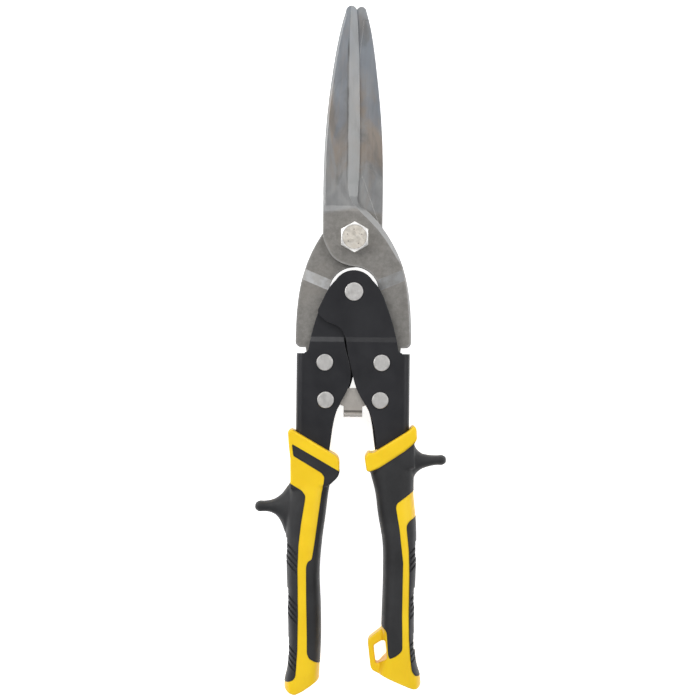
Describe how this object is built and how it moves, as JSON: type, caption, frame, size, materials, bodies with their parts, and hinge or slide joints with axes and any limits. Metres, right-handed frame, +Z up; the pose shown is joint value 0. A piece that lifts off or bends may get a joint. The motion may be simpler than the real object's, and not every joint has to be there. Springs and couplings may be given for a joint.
{
  "type": "aviation snips",
  "caption": "Compound-action aviation snips with long straight blades, a hex pivot bolt, folded black steel handles, a centre latch and two-tone grips with thumb stops and a hanging loop.",
  "frame": {"origin": "where the axis of the blade pivot bolt meets the surface the snips lie on; the end face of the bolt lies there", "axes": "+Y from the grips to the blade tips, +X to the right seen from the front, +Z up, out of the front face that carries the bolt head"},
  "size_m": [0.0861, 0.3096, 0.022],
  "materials": {
    "blade_steel": "forged and ground steel",
    "plated_steel": "nickel plated",
    "nut_nylon": "nylon locking ring",
    "black_steel": "satin black oxide",
    "rivet_steel": "turned and pressed steel",
    "spring_steel": "spring wire",
    "latch_steel": "nickel plated sheet",
    "yellow_plastic": "moulded, fine grain",
    "black_rubber": "soft overmould"
  },
  "bodies": {
    "handle_right": {"right_handle": "black_steel", "right_grip_shell": "yellow_plastic", "right_grip_overmould": "black_rubber", "centre_rivet": "rivet_steel", "centre_sleeve": "rivet_steel", "return_spring": "spring_steel", "right_link_rivet": "rivet_steel", "right_lower_rivet": "rivet_steel", "right_washer_front": "rivet_steel", "right_washer_back": "rivet_steel", "right_sleeve": "rivet_steel"},
    "handle_left": {"left_handle": "black_steel", "left_grip_shell": "yellow_plastic", "left_grip_overmould": "black_rubber", "left_link_rivet": "rivet_steel", "left_lower_rivet": "rivet_steel", "left_washer_front": "rivet_steel", "left_washer_back": "rivet_steel", "left_sleeve": "rivet_steel"},
    "blade_front": {"front_blade": "blade_steel", "pivot_bolt": "plated_steel", "pivot_washer": "plated_steel", "pivot_nut": "plated_steel", "nut_insert": "nut_nylon"},
    "blade_back": {"back_blade": "blade_steel"},
    "latch": {"latch": "latch_steel"}
  },
  "joints": [
    {"name": "handles_open", "type": "hinge", "parent": "handle_right", "child": "handle_left", "pos_m": [0, -0.0243, 0.011], "axis": [0, 0, -1], "range_deg": [0, 32], "deforming": ["return_spring"]},
    {"name": "front_link", "type": "hinge", "parent": "handle_right", "child": "blade_front", "pos_m": [0.0127, -0.056, 0.011], "axis": [0, 0, -1], "range_deg": [0, 7.4]},
    {"name": "blade_pivot", "type": "hinge", "parent": "blade_front", "child": "blade_back", "pos_m": [0, 0, 0.011], "axis": [0, 0, -1], "range_deg": [0, 17.4]},
    {"name": "latch_swing", "type": "hinge", "parent": "handle_right", "child": "latch", "pos_m": [0.0122, -0.0728, 0.011], "axis": [0, 0, -1], "range_deg": [0, 6]}
  ],
  "couplings": [
    {"joint": "front_link", "follows": "handles_open", "ratio": 0.22875},
    {"joint": "blade_pivot", "follows": "handles_open", "ratio": 0.5425}
  ]
}
